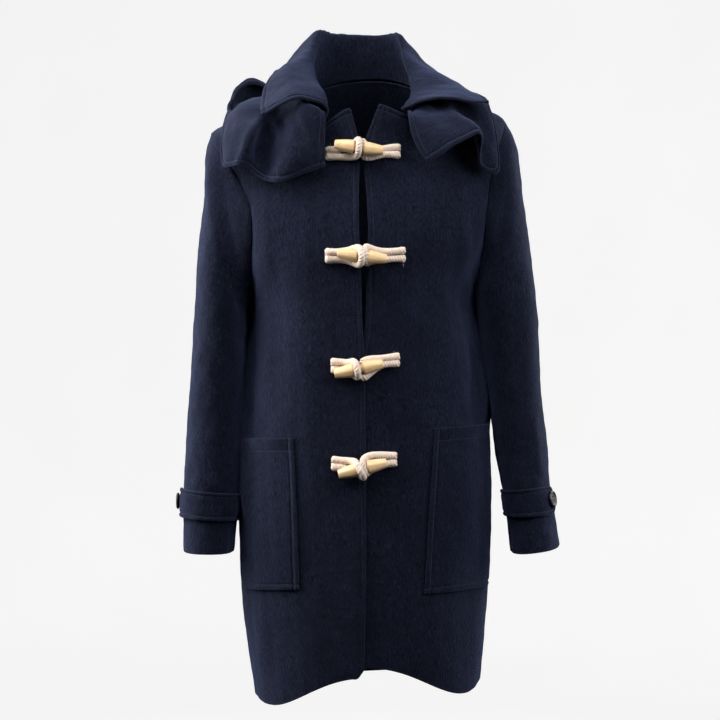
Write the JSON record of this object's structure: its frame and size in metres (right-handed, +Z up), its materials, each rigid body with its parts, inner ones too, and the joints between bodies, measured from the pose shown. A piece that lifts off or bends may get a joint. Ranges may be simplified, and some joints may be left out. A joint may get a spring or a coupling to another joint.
{
  "type": "duffle coat, worn",
  "caption": "Hip-length navy wool duffle coat with hood down, collar, patch pockets, cuff straps and wooden toggles on cord loops, standing open and hollow as worn.",
  "frame": {"origin": "on the coat's centre line, level with the base of the neck, where the wearer's shoulders carry it (mount shoulders)", "axes": "+Z up; -Y the front, where the coat opens; +X the wearer's left"},
  "size_m": [0.4894, 0.3463, 0.8695],
  "materials": {
    "cloth": "milled wool melton, matt with a short nap",
    "toggle": "pale bamboo-like wood, glossy",
    "cord": "twisted undyed cotton rope, matt",
    "button": "near-black, satin, a little marbled"
  },
  "bodies": {
    "root": {"front_right": "cloth", "front_left": "cloth", "back": "cloth", "upper_sleeve_right": "cloth", "upper_sleeve_left": "cloth", "under_sleeve_right": "cloth", "under_sleeve_left": "cloth", "cuff_tab_right": "cloth", "cuff_tab_left": "cloth", "cuff_button_right": "button", "cuff_button_left": "button", "patch_pocket_right": "cloth", "patch_pocket_left": "cloth", "collar": "cloth", "hood_right": "cloth", "hood_left": "cloth", "toggle_1": "toggle", "toggle_2": "toggle", "toggle_3": "toggle", "toggle_4": "toggle", "toggle_cord_right_1": "cord", "toggle_cord_right_2": "cord", "toggle_cord_right_3": "cord", "toggle_cord_right_4": "cord", "toggle_cord_left_1": "cord", "toggle_cord_left_2": "cord", "toggle_cord_left_3": "cord", "toggle_cord_left_4": "cord"}
  },
  "joints": []
}
